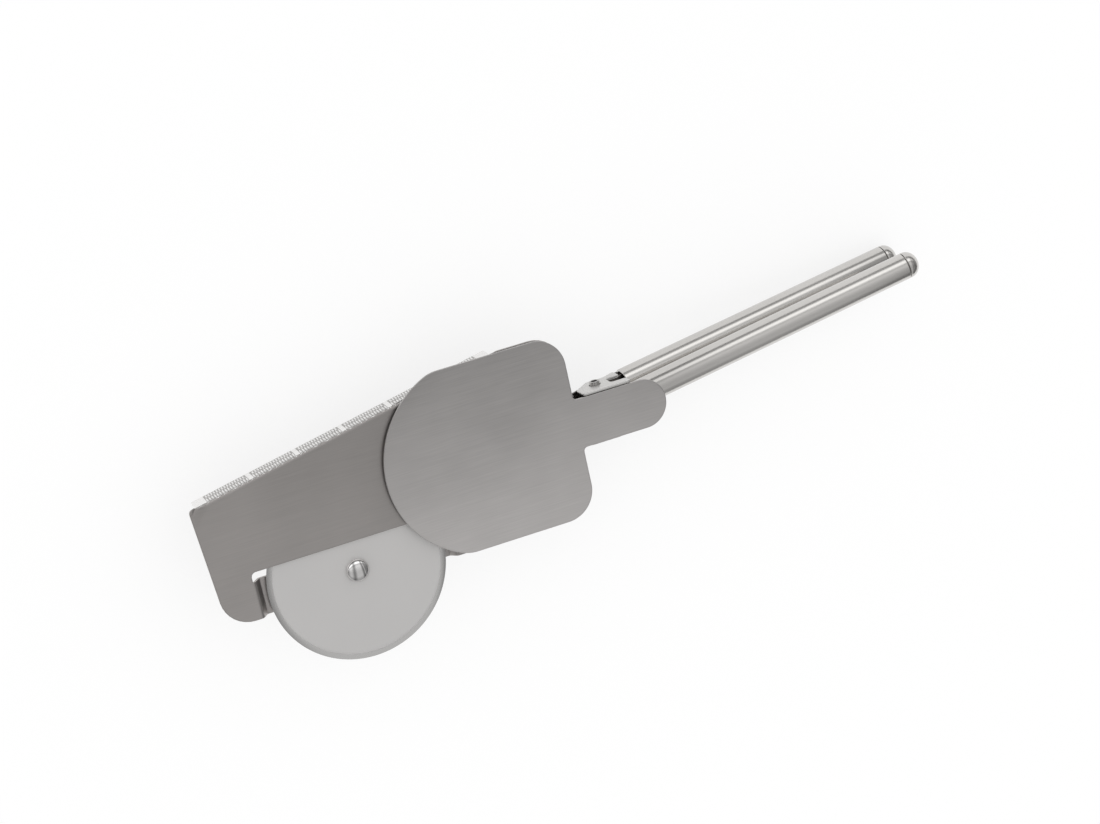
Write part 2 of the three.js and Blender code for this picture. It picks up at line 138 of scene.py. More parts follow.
def softened(corners: list[Corner], step: float = 12.0) -> Array:
    """Trace a closed outline whose corners give way to arcs.

    Each corner (x, y, r) is replaced by the arc of radius r that touches both of its sides.

    Args:
        corners: Corners in order, each with its radius, 0 for a sharp one.
        step: Largest angle between the points of an arc, in degrees.

    Returns:
        The outline's points in the same order.
    """
    parts = []
    for i, (x, y, radius) in enumerate(corners):
        here = np.array([x, y])
        back = unit(np.array(corners[i - 1][:2]) - here)
        ahead = unit(np.array(corners[(i + 1) % len(corners)][:2]) - here)
        if radius == 0:
            parts.append(here[None])
            continue
        half = np.arccos(np.clip(back @ ahead, -1, 1)) / 2
        centre = here + unit(back + ahead) * radius / np.sin(half)
        first = here + back * radius / np.tan(half) - centre
        start = np.degrees(np.arctan2(first[1], first[0]))
        side = -np.sign(back[0] * ahead[1] - back[1] * ahead[0])
        parts.append(arc(tuple(centre), radius, start, start + side * (180 - np.degrees(2 * half)), step))
    return np.concatenate(parts)


def spaced(loop: Array, spacing: float) -> Array:
    """Add points on a closed loop so that no step is longer than a spacing.

    Args:
        loop: The loop's points.
        spacing: Largest step.

    Returns:
        The loop with each edge cut into equal steps.
    """
    after = np.roll(loop, -1, axis=0)
    counts = np.maximum(1, np.ceil(np.linalg.norm(after - loop, axis=1) / spacing).astype(int))
    edge = np.repeat(np.arange(len(loop)), counts)
    rank = np.arange(counts.sum()) - np.repeat(np.cumsum(counts) - counts, counts)
    share = (rank / counts[edge])[:, None]
    return loop[edge] * (1 - share) + after[edge] * share


def inset(loop: Array, distance: float) -> Array:
    """Move a closed loop to its left by a distance, along the bisector at each point.

    Args:
        loop: The loop's points, the material on their left.
        distance: How far each side moves.

    Returns:
        The moved loop.
    """
    ahead = left_of(unit(np.roll(loop, -1, axis=0) - loop))
    bisector = unit(ahead + np.roll(ahead, 1, axis=0))
    stretch = np.maximum(np.sum(bisector * ahead, axis=1, keepdims=True), 0.4)
    return loop + bisector * distance / stretch


def grid_faces(rows: int, columns: int, wrap_rows: bool = False, wrap_columns: bool = True) -> Array:
    """Quads of a grid of points stored row by row, facing column direction x row direction.

    Args:
        rows: Number of rows.
        columns: Points in a row.
        wrap_rows: Whether the last row meets the first.
        wrap_columns: Whether each row closes on itself.

    Returns:
        An array of quads.
    """
    row = np.arange(rows if wrap_rows else rows - 1)[:, None]
    column = np.arange(columns if wrap_columns else columns - 1)[None, :]
    next_row = (row + 1) % rows
    next_column = (column + 1) % columns
    quads = np.stack(np.broadcast_arrays(
        row * columns + column, row * columns + next_column,
        next_row * columns + next_column, next_row * columns + column), axis=-1)
    return quads.reshape(-1, 4)


def rim_profile(thickness: float, radius: float, flat: float = 0.35, steps: int = 4) -> Array:
    """Section of a sheet's rim: inset from the outline and height, from the front face to the back.

    The two quarter arcs of the radius join the flat faces to the straight edge, and a narrow flat
    band beside each keeps the faces' shading level.

    Args:
        thickness: The sheet's thickness.
        radius: Radius of both edges.
        flat: Width of the flat bands.
        steps: Steps of each arc.

    Returns:
        An array of (inset, height) pairs.
    """
    turn = np.linspace(0, np.pi / 2, steps + 1)
    front = np.stack([radius * (1 - np.sin(turn)), thickness / 2 - radius * (1 - np.cos(turn))], axis=1)
    back = front[::-1] * (1, -1)
    ends = np.array([[radius + flat, thickness / 2], [radius + flat, -thickness / 2]])
    return np.concatenate([ends[:1], front, back, ends[1:]])


def sheet(outer: Array, holes: list[Array], thickness: float, radius: float,
          inner: Array | None = None, hole_radius: float = 0.2) -> Surface:
    """Flat sheet (u, v, w) with rounded rims, the rim section carried along each loop.

    A rim point is the loop moved into the material by the section's inset, at the section's height.
    The two faces inside the rims are filled with triangles between the innermost loops.

    Args:
        outer: Outline, anticlockwise.
        holes: Outlines of the holes, clockwise.
        thickness: Thickness, half to each side of w = 0.
        radius: Radius of the rims' edges.
        inner: More points on the faces, where the sheet is bent afterwards.
        hole_radius: Radius of the holes' edges.

    Returns:
        The closed surface.
    """
    rims = []
    for loop in [outer, *holes]:
        profile = rim_profile(thickness, radius if loop is outer else hole_radius)
        grid = np.stack([inset(loop, depth) for depth in profile[:, 0]])
        height = np.broadcast_to(profile[:, 1][:, None, None], (*grid.shape[:2], 1))
        points = np.concatenate([grid, height], axis=2).reshape(-1, 3)
        rims.append(Surface(points, [grid_faces(len(profile), len(loop))[:, ::-1]]))
    whole = rims[0].joined(*rims[1:])
    sizes = [len(loop) for loop in [outer, *holes]]
    starts = np.cumsum([0] + [len(rim.points) for rim in rims[:-1]])
    front = np.concatenate([start + np.arange(size) for start, size in zip(starts, sizes)])
    last = len(profile) - 1
    back = np.concatenate([start + last * size + np.arange(size) for start, size in zip(starts, sizes)])
    flat = whole.points[front][:, :2]
    extra = np.zeros((0, 2)) if inner is None else inner
    chains = [list(range(end - size, end)) for end, size in zip(np.cumsum(sizes), sizes)]
    places = np.concatenate([flat, extra]).tolist()
    found = delaunay_2d_cdt(places, [], chains, INSIDE_WITH_HOLES, MERGE_DISTANCE)
    source = np.array([origin[0] for origin in found[3]])
    triangles = source[np.array(found[2])]
    count = len(whole.points)
    level = np.full((len(extra), 1), thickness / 2)
    points = np.concatenate([whole.points, np.hstack([extra, level]), np.hstack([extra, -level])])
    upper = np.concatenate([front, count + np.arange(len(extra))])
    lower = np.concatenate([back, count + len(extra) + np.arange(len(extra))])
    return Surface(points, [*whole.faces, upper[triangles], lower[triangles][:, ::-1]])


def lathe(profile: Array, segments: int, ring: bool = False) -> Surface:
    """Turn a profile about the z axis: point = (r cos a, r sin a, h).

    Args:
        profile: Pairs (r, h) up the outside, from axis to axis or round a ring's section.
        segments: Steps round the axis.
        ring: Whether the profile closes on itself instead of meeting the axis.

    Returns:
        The closed surface.
    """
    angle = 2 * np.pi * np.arange(segments) / segments
    body = profile if ring else profile[1:-1]
    circle = np.stack([np.cos(angle), np.sin(angle)], axis=1)
    height = np.broadcast_to(body[:, None, 1:], (len(body), segments, 1))
    points = np.concatenate([body[:, None, :1] * circle[None], height], axis=2).reshape(-1, 3)
    faces = [grid_faces(len(body), segments, wrap_rows=ring)]
    if not ring:
        count = len(points)
        poles = np.array([[0, 0, profile[0, 1]], [0, 0, profile[-1, 1]]])
        around = np.arange(segments)
        onward = np.roll(around, -1)
        low = np.stack([np.full(segments, count), onward, around], axis=1)
        top = count - segments
        high = np.stack([np.full(segments, count + 1), top + around, top + onward], axis=1)
        points = np.concatenate([points, poles])
        faces += [low, high]
    return Surface(points, faces)


def carried(section: Array, path: Array, across: Array, up: Array) -> Surface:
    """Carry a closed section along a path: point = path + s across + t up.

    Args:
        section: Closed section of (s, t) pairs, anticlockwise seen against the path.
        path: The path's points.
        across: Direction of s at each point, or one for all.
        up: Direction of t at each point, or one for all.

    Returns:
        The closed surface with a flat face at each end.
    """
    across = np.broadcast_to(across, path.shape)
    up = np.broadcast_to(up, path.shape)
    points = (path[:, None] + section[None, :, :1] * across[:, None] + section[None, :, 1:] * up[:, None])
    count = len(section)
    first = np.arange(count)[None, ::-1]
    last = (len(path) - 1) * count + np.arange(count)[None]
    return Surface(points.reshape(-1, 3), [grid_faces(len(path), count), first, last])


def bar_section(width: float, thickness: float, radius: float) -> Array:
    """Closed section of a flat bar with rounded edges, anticlockwise about its middle."""
    w, t = width / 2, thickness / 2
    return softened([(-w, -t, radius), (w, -t, radius), (w, t, radius), (-w, t, radius)], 22.5)


@dataclass(frozen=True)
class SteelFinish:
    """A steel surface: its tone, the marks of its making and a painted gradient of light and shade across the
    sheet.
    """

    name: str
    tone: tuple[float, float, float]
    grain: Grain
    roughness: float
    contrast: float = 0.5
    roughness_spread: float = 0.08
    bump: float = 0.12
    bump_depth: float = 0.00002
    cloud_share: float = 0.55
    noise_low: float = 0.25
    noise_high: float = 0.75
    fine: float = 3200.0
    stretch: float = 0.02
    cloud: float = 28.0
    painted_shade_along: tuple[float, float, float] = (1.0, 0.0, 0.0)
    painted_shade_from: float = 0.0
    painted_shade_to: float = 1.0
    painted_shade_share: float = 0.0

    def found(self) -> bpy.types.Material:
        """Return the finish's material, made on its first use."""
        return bpy.data.materials.get(self.name) or self.material()

    def material(self) -> bpy.types.Material:
        """Build the finish: grain and cloud on Object coordinates drive tone, roughness and bump, and a
        painted light-and-shade gradient shifts the tone.

        Returns:
            The finished material.
        """
        material = bpy.data.materials.new(self.name)
        material.use_nodes = True
        tree = material.node_tree
        shader = tree.nodes["Principled BSDF"]
        shader.inputs["Metallic"].default_value = 1.0
        along = self.stretch if self.grain is Grain.LENGTHWISE else 1.0
        grain = self.noise(tree, (self.fine * along, self.fine, self.fine), 4.0)
        cloud = self.noise(tree, (self.cloud,) * 3, 3.0)
        mixed = tree.nodes.new("ShaderNodeMix")
        mixed.inputs["Factor"].default_value = self.cloud_share
        tree.links.new(grain, mixed.inputs["A"])
        tree.links.new(cloud, mixed.inputs["B"])
        shifted = tree.nodes.new("ShaderNodeMath")
        shifted.operation = "ADD"
        tree.links.new(mixed.outputs["Result"], shifted.inputs[0])
        # painted light and shade: the tone is shifted lighter or darker along a set direction
        tree.links.new(self.add_painted_shade(tree), shifted.inputs[1])
        ramp = tree.nodes.new("ShaderNodeValToRGB")
        low, high = ramp.color_ramp.elements
        low.color = (*(channel * (1 - self.contrast / 2) for channel in self.tone), 1)
        high.color = (*(channel * (1 + self.contrast / 2) for channel in self.tone), 1)
        tree.links.new(shifted.outputs["Value"], ramp.inputs["Fac"])
        tree.links.new(ramp.outputs["Color"], shader.inputs["Base Color"])
        rough = tree.nodes.new("ShaderNodeMapRange")
        rough.inputs["From Min"].default_value = self.noise_low
        rough.inputs["From Max"].default_value = self.noise_high
        rough.inputs["To Min"].default_value = self.roughness - self.roughness_spread
        rough.inputs["To Max"].default_value = self.roughness + self.roughness_spread
        tree.links.new(mixed.outputs["Result"], rough.inputs["Value"])
        tree.links.new(rough.outputs["Result"], shader.inputs["Roughness"])
        bump = tree.nodes.new("ShaderNodeBump")
        bump.inputs["Strength"].default_value = self.bump
        bump.inputs["Distance"].default_value = self.bump_depth
        tree.links.new(grain, bump.inputs["Height"])
        tree.links.new(bump.outputs["Normal"], shader.inputs["Normal"])
        return material

    def noise(self, tree: bpy.types.NodeTree, scale: tuple[float, float, float],
              detail: float) -> bpy.types.NodeSocket:
        """Add noise on Object coordinates.

        Args:
            tree: The material's nodes.
            scale: Repeats in a metre along each axis.
            detail: Octaves of the noise.

        Returns:
            The noise's value.
        """
        place = tree.nodes.new("ShaderNodeTexCoord")
        mapping = tree.nodes.new("ShaderNodeMapping")
        mapping.inputs["Scale"].default_value = scale
        noise = tree.nodes.new("ShaderNodeTexNoise")
        noise.inputs["Scale"].default_value = 1.0
        noise.inputs["Detail"].default_value = detail
        tree.links.new(place.outputs["Object"], mapping.inputs["Vector"])
        tree.links.new(mapping.outputs["Vector"], noise.inputs["Vector"])
        return noise.outputs["Fac"]

    def add_painted_shade(self, tree: bpy.types.NodeTree) -> bpy.types.NodeSocket:
        """Add painted light and shade: a slow change of tone along a direction, level past both of its ends.

        Args:
            tree: The material's nodes.

        Returns:
            The painted shade's value, from minus its share to its share.
        """
        place = tree.nodes.new("ShaderNodeTexCoord")
        along = tree.nodes.new("ShaderNodeVectorMath")
        along.operation = "DOT_PRODUCT"
        along.inputs[1].default_value = self.painted_shade_along
        spread = tree.nodes.new("ShaderNodeMapRange")
        spread.inputs["From Min"].default_value = self.painted_shade_from
        spread.inputs["From Max"].default_value = self.painted_shade_to
        spread.inputs["To Min"].default_value = -self.painted_shade_share
        spread.inputs["To Max"].default_value = self.painted_shade_share
        tree.links.new(place.outputs["Object"], along.inputs[0])
        tree.links.new(along.outputs["Value"], spread.inputs["Value"])
        return spread.outputs["Result"]


@dataclass
class Bench:
    """The frame's places in millimetres, and the making of finished pieces on it."""

    wheel_z: float = -1.8

    def __post_init__(self) -> None:
        """Read the two joints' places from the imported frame."""
        rows = frame["record"]["behaviour"]["joints"]
        joints = {row["name"]: np.array(row["pos_m"]) / MM for row in rows}
        self.offset = joints["wheel_spin"] - (0, 0, self.wheel_z)
        self.pivot = joints["jaw_hinge"] - self.offset

    def piece(self, name: str, surface: Surface, finish: SteelFinish, body: Body, slot: Slot,
              node: str | None = None, crease: float = 38.0) -> bpy.types.Object:
        """Make a surface a finished piece of the tool.

        Args:
            name: The piece's name.
            surface: Its surface in the tool's millimetres.
            finish: Its finish.
            body: The body that it rides on.
            slot: The record's slot for its finish; not used.
            node: The frame's node that it stands for, if any.
            crease: Angle in degrees past which an edge is sharp.

        Returns:
            The piece's object.
        """
        mesh = bpy.data.meshes.new(name)
        faces = [face for block in surface.faces for face in block.tolist()]
        mesh.from_pydata(((surface.points + self.offset) * MM).tolist(), [], faces)
        mesh.update()
        mesh.shade_smooth()
        mesh.set_sharp_from_angle(angle=np.radians(crease))
        mesh.materials.append(finish.found())
        piece = bpy.data.objects.new(name, mesh)
        bpy.context.scene.collection.objects.link(piece)
        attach(piece, body.value)
        if node:
            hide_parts(node)
        LOG.info("%s: %d points on %s", name, len(surface.points), body.value)
        return piece


@dataclass
class CutterPlate:
    """The long plate: one sheet with a slit, a pressed bridge and a folded grater edge."""

    bench: Bench
    sheet_thick: float = 1.0
    edge: float = 0.2
    low: float = -6.5
    high: float = 66.3
    right_x: float = 96.0
    corner_r: float = 12.0
    tip: tuple[float, float] = (-56.3, 41.8)
    foot_x: float = -52.6
    foot_r: float = 11.5
    grater_end: tuple[float, float] = (71.0, 66.3)
    grater_depth: float = 8.5
    grater_start: float = 3.0
    grater_stop: float = 2.5
    fold_r: float = 1.0
    fade: float = 2.0
    slit_top: float = 11.75
    slit_low: float = 8.1
    slit_half: float = 39.6
    bridge_foot: float = 39.6
    bridge_depth: float = 3.2
    press_r: float = 1.0
    wall_angle: float = 54.0
    rivet_hole: float = 2.3
    groups: int = 6
    ribs: int = 16
    rib_pitch: float = 1.1
    rib_gap: float = 2.9
    rib_height: float = 0.55
    rib_half: float = 0.34
    rib_foot: float = 0.4
    field_margin: float = 0.5
    field_face: float = -0.29

    def __post_init__(self) -> None:
        """Work out the grater line's direction and the flat length of its fold."""
        run = np.array(self.grater_end) - self.tip
        self.length = float(np.linalg.norm(run))
        self.along = run / self.length
        self.out = left_of(self.along)
        self.fold_start = -self.sheet_thick / 2 - self.fold_r
        drop = self.grater_depth - self.sheet_thick / 2 - self.fold_r
        self.fold_reach = self.fold_start + self.fold_r * np.pi / 2 + drop

    def at_grater(self, run: float, out: float, radius: float) -> Corner:
        """Return the flat corner at a run along the grater line and a reach out from it."""
        point = np.array(self.tip) + self.along * run + self.out * out
        return (float(point[0]), float(point[1]), radius)

    def outline(self) -> Array:
        """Flat outline, with the grater edge unfolded."""
        return softened([
            (*self.tip, 2.0),
            (self.foot_x, self.low, self.foot_r),
            (self.right_x, self.low, self.corner_r),
            (self.right_x, self.high, self.corner_r),
            (*self.grater_end, 4.0),
            self.at_grater(self.length - self.grater_stop, 0.0, 0.3),
            self.at_grater(self.length - self.grater_stop, self.fold_reach, 1.0),
            self.at_grater(self.grater_start, self.fold_reach, 1.0),
            self.at_grater(self.grater_start, 0.0, 0.3),
        ])

    def step(self) -> tuple[Array, Array, Array]:
        """Section of the pressed step: an arc, a straight wall and a like arc back to level.

        Returns:
            Distance in from the bridge's foot, depth and slope along the section.
        """
        turn = np.radians(np.linspace(0, self.wall_angle, 9))
        first = self.press_r * np.stack([np.sin(turn), 1 - np.cos(turn)], axis=1)
        wall = (self.bridge_depth - 2 * first[-1, 1]) / np.tan(turn[-1])
        end = np.array([2 * first[-1, 0] + wall, self.bridge_depth])
        section = np.concatenate([first, end - first[::-1]])
        return section[:, 0], section[:, 1], np.tan(np.concatenate([turn, turn[::-1]]))

    def bent(self, flat: Surface) -> Surface:
        """Press the bridge and fold the grater edge of a flat sheet (u, v, w).

        Below the slit the middle of the sheet sinks by the pressed step, counted in from the bridge's
        feet. Past the fold line a point goes round a quarter circle and then straight back, and
        the fold fades out past the flange's ends. Both carry w along the bent sheet's normal.

        Args:
            flat: The flat sheet.

        Returns:
            The bent sheet, its front face at z = 0.
        """
        u, v, w = flat.points.T
        inward, depth, slope = self.step()
        below = v < (self.slit_low + self.slit_top) / 2 - 0.6
        sink = np.where(below, -np.interp(self.bridge_foot - np.abs(u), inward, depth), 0)
        tilt = np.where(below, np.sign(u) * np.interp(self.bridge_foot - np.abs(u), inward, slope), 0)
        steep = np.sqrt(1 + tilt ** 2)
        x, z = u - w * tilt / steep, sink + w / steep
        place = np.stack([u, v], axis=1) - self.tip
        run, out = place @ self.along, place @ self.out
        past = np.maximum(self.grater_start - run, run - self.length + self.grater_stop)
        reach = (out - self.fold_start) * np.clip(1 - past / self.fade, 0, 1)
        angle = np.clip(reach / self.fold_r, 0, np.pi / 2)
        straight = np.maximum(reach - self.fold_r * np.pi / 2, 0)
        folded = reach > 0
        shift = np.where(folded, np.minimum((self.fold_r + w) * np.sin(angle) - reach, -out), 0)
        z = np.where(folded, -self.fold_r * (1 - np.cos(angle)) - straight + w * np.cos(angle), z)
        moved = np.stack([x, v], axis=1) + shift[:, None] * self.out
        return Surface(np.column_stack([moved, z - self.sheet_thick / 2]), flat.faces)

    def bend_points(self) -> Array:
        """Points on the flat sheet's faces where it bends, in even rows across the bends.

        Returns:
            The points, for both faces.
        """
        u = np.linspace(self.bridge_foot - self.step()[0][-1] - 0.3, self.bridge_foot + 0.3, 19)
        v = np.arange(self.low + 2.0, self.slit_low - 1.2, 1.6)
        near = np.stack(np.meshgrid(np.concatenate([-u, u]), v), axis=-1).reshape(-1, 2)
        starts, group = self.rib_starts()
        borders = np.concatenate([starts - self.rib_pitch / 2, starts + group + self.rib_pitch / 2])
        run = np.arange(self.grater_start + 2.0, self.length - self.grater_stop - 1.5, 2.4)
        run = np.concatenate([run[np.abs(run[:, None] - borders).min(axis=1) > 0.5], borders])
        last = self.fold_reach - self.fold_start - self.field_margin
        turn = np.linspace(0, self.fold_r * np.pi / 2, 6)
        out = self.fold_start + np.concatenate([[-0.3], turn, [3.2, last]])
        run, out = (grid.ravel() for grid in np.meshgrid(run, out))
        far = np.array(self.tip) + run[:, None] * self.along + out[:, None] * self.out
        return np.concatenate([near, far])

    def plate(self) -> Surface:
        """The whole sheet, cut flat with its slit and rivet hole and then bent.

        Returns:
            The closed sheet.
        """
        half = (self.slit_top - self.slit_low) / 2
        slit = softened([
            (-self.slit_half, self.slit_low, 0.3),
            (-self.slit_half, self.slit_top, half),
            (self.slit_half, self.slit_top, half),
            (self.slit_half, self.slit_low, 0.3),
        ])
        hole = arc((0, 0), self.rivet_hole, 0, -354, 6)
        flat = sheet(spaced(self.outline(), 0.3), [spaced(slit, 0.3), hole],
                     self.sheet_thick, self.edge, self.bend_points())
        return self.bent(flat)

    def grater(self) -> Surface:
        """Rows of ribs on the folded edge: each rib rises as height x (1 - a^2) x (1 - b^6).

        The rib's width a and length b run from -1 to 1 on a small grid, and the same grid is laid at
        every rib's place at once.

        Returns:
            All the ribs, each a low closed ridge seated in the flange.
        """
        across = np.linspace(-1, 1, 5)
        length = np.array([-1, -0.86, 0.86, 1])
        a, b = np.meshgrid(across, length)
        rise = self.rib_height * (1 - a ** 2) * (1 - b ** 6)
        starts, _ = self.rib_starts()
        upper = (starts[:, None] + np.arange(self.ribs) * self.rib_pitch).ravel()
        lower = (starts[:, None] + (np.arange(self.ribs - 1) + 0.5) * self.rib_pitch).ravel()
        middle = self.grater_depth / 2
        rows = ((upper, -0.45, 0.35 - middle), (lower, -0.35 - middle, 0.6 - self.grater_depth))
        every = []
        for runs, front, back in rows:
            run = runs[:, None] + (a * self.rib_half).ravel()
            depth = np.broadcast_to(((front + back) / 2 + b * (back - front) / 2).ravel(), run.shape)
            base = np.array(self.tip) + run[..., None] * self.along
            top = base + np.broadcast_to(rise.ravel() - 0.03, run.shape)[..., None] * self.out
            foot = base - self.rib_foot * self.out
            layers = [np.concatenate([flat, depth[..., None]], axis=2) for flat in (top, foot)]
            points = np.concatenate(layers, axis=1)
            every.append(Surface(points.reshape(-1, 3), self.rib_faces(len(runs), a.shape)))
        return every[0].joined(every[1])

    @staticmethod
    def rib_faces(count: int, shape: tuple[int, int]) -> list[Array]:
        """Faces of many ribs, each a top grid, a like foot grid and a wall round both.

        Args:
            count: Number of ribs.
            shape: Rows and columns of a rib's grid.

        Returns:
            The quads of all ribs.
        """
        rows, columns = shape
        size = rows * columns
        top = grid_faces(rows, columns, wrap_columns=False)
        index = np.arange(size).reshape(shape)
        ring = np.concatenate([index[0, :-1], index[:-1, -1], index[-1, :0:-1], index[:0:-1, 0]])
        onward = np.roll(ring, -1)
        wall = np.stack([ring, ring + size, onward + size, onward], axis=1)
        one = np.concatenate([top[:, ::-1], top + size, wall[:, ::-1]])
        return [(one[None] + 2 * size * np.arange(count)[:, None, None]).reshape(-1, 4)]

    def rib_starts(self) -> tuple[Array, float]:
        """Runs at which the groups of ribs start, spread evenly, and the length of a group.

        Returns:
            The runs and the length.
        """
        group = (self.ribs - 1) * self.rib_pitch
        whole = self.groups * group + (self.groups - 1) * self.rib_gap
        begin = (self.grater_start + self.length - self.grater_stop - whole) / 2
        return begin + np.arange(self.groups) * (group + self.rib_gap), group

    def areas(self, surface: Surface) -> Array:
        """Number of each face's finish: 0 on the plate, 1 on the folded edge, lighter as a painted highlight,
        2 between the grater's ribs, darker as painted shade.

        Args:
            surface: The bent sheet.

        Returns:
            The numbers, in the order of the faces.
        """
        place = surface.points[:, :2] - self.tip
        local = np.stack([place @ self.along, place @ self.out, surface.points[:, 2]], axis=1)
        run, out, z = np.concatenate([local[block].mean(axis=1) for block in surface.faces]).T
        starts, group = self.rib_starts()
        beside = np.abs(run[:, None] - starts - group / 2).min(axis=1) < (group + self.rib_pitch) / 2
        # Painted shade: the flange's faces between the ribs of each group get the darker finish.
        between = beside & (out > self.field_face) & (z > self.field_margin - self.grater_depth)
        folded = (out > self.fold_start) & (z < -self.sheet_thick / 2)
        return np.where(folded, np.where(between, 2, 1), 0)

    def build(self, finish: SteelFinish, bright: SteelFinish, gap_shade: SteelFinish) -> None:
        """Make the plate with its folded edge, and the grater's ribs on it.

        Args:
            finish: Finish of the sheet.
            bright: Much lighter finish of the folded edge and the ribs, a painted highlight on the same
                sheet.
            gap_shade: Darker finish of the folded edge between the ribs, painted shade.
        """
        piece = self.bench.piece
        surface = self.plate()
        plate = piece("cutter_plate_sheet", surface, finish, Body.CUTTER, Slot.PLATE, "cutter_plate")
        plate.data.materials.append(bright.found())
        plate.data.materials.append(gap_shade.found())
        plate.data.polygons.foreach_set("material_index", self.areas(surface).astype(np.int32))
        piece("grater_ribs", self.grater(), bright, Body.CUTTER, Slot.PLATE)


@dataclass
class CuttingWheel:
    """The wheel, the rivet that it turns on and the washer behind it."""

    bench: Bench
    radius: float = 35.0
    thick: float = 0.8
    bevel: float = 2.2
    edge: float = 0.16
    bore: float = 2.3
    front_z: float = -1.4
    clear: float = 0.3
    shank: float = 2.0
    head_r: float = 4.5
    dome: float = 2.9
    tail_r: float = 3.4
    tail_h: float = 1.1
    washer_r: float = 4.6
    bridge_front: float = -3.2
    bridge_back: float = -4.2

    def disc(self) -> Surface:
        """Thin disc whose rim is ground from both sides to a narrow edge.

        Returns:
            The disc, turned about the wheel's axis.
        """
        back = self.front_z - self.thick
        middle = (self.front_z + back) / 2
        shoulder = self.radius - self.bevel
        profile = softened([
            (self.bore, back, 0.08),
            (self.bore + 0.4, back, 0),
            (shoulder - 0.4, back, 0),
            (shoulder, back, 1.2),
            (self.radius, middle - self.edge / 2, 0.04),
            (self.radius, middle + self.edge / 2, 0.04),
            (shoulder, self.front_z, 1.2),
            (shoulder - 0.4, self.front_z, 0),
            (self.bore + 0.4, self.front_z, 0),
            (self.bore, self.front_z, 0.08),
        ], 15.0)
        return lathe(profile, 240, ring=True)

    def rivet(self) -> Surface:
        """Domed head, shank and spread tail in one turned profile.

        Returns:
            The rivet, its dome a quarter ellipse turned round.
        """
        under = self.front_z + self.clear
        tail = self.bridge_back - self.tail_h
        corners = softened([
            (0.0, tail, 0),
            (self.tail_r, tail, 0.55),
            (self.tail_r, self.bridge_back, 0.1),
            (self.shank, self.bridge_back, 0),
            (self.shank, under, 0),
            (self.head_r, under, 0.12),
        ], 15.0)
        turn = np.linspace(0, np.pi / 2, 20)
        rim = under + 0.4
        dome = np.stack([self.head_r * np.cos(turn), rim + (self.dome - 0.4) * np.sin(turn)], axis=1)
        dome[-1, 0] = 0.0
        return lathe(np.concatenate([corners, dome]), 72)

    def washer(self) -> Surface:
        """Flat washer between the wheel and the bridge.

        Returns:
            The washer's closed ring.
        """
        front = self.front_z - self.thick - self.clear
        inner = self.shank + self.clear
        return lathe(softened([
            (inner, self.bridge_front, 0.1),
            (self.washer_r, self.bridge_front, 0.1),
            (self.washer_r, front, 0.1),
            (inner, front, 0.1),
        ], 30.0), 64, ring=True)

    def build(self, face: SteelFinish, rim: SteelFinish, polished: SteelFinish, plain: SteelFinish) -> None:
        """Make the wheel with its ground rim, the rivet and the washer.

        Args:
            face: Finish of the wheel's faces.
            rim: Finish of its ground rim.
            polished: Finish of the rivet.
            plain: Finish of the washer.
        """
        piece = self.bench.piece
        surface = self.disc()
        disc = piece("cutting_wheel_disc", surface, face, Body.WHEEL, Slot.WHEEL, "cutting_wheel", 20.0)
        disc.data.materials.append(rim.found())
        reach = np.hypot(*surface.points[:, :2].T)
        outer = np.concatenate([reach[block].mean(axis=1) for block in surface.faces])
        disc.data.polygons.foreach_set("material_index", (outer > self.radius - self.bevel).astype(np.int32))
        piece("wheel_rivet_dome", self.rivet(), polished, Body.CUTTER, Slot.POLISHED, "wheel_rivet")
        piece("wheel_washer_ring", self.washer(), plain, Body.CUTTER, Slot.BRACKET, "wheel_washer")


def standing(flat: Surface, y: float) -> Surface:
    """Stand a flat sheet (u, v, w) up across the tool: x = u, z = v and w towards -y, about a y."""
    return flat.turned(np.array([[1, 0, 0], [0, 0, -1], [0, 1, 0]]), (0, y, 0))


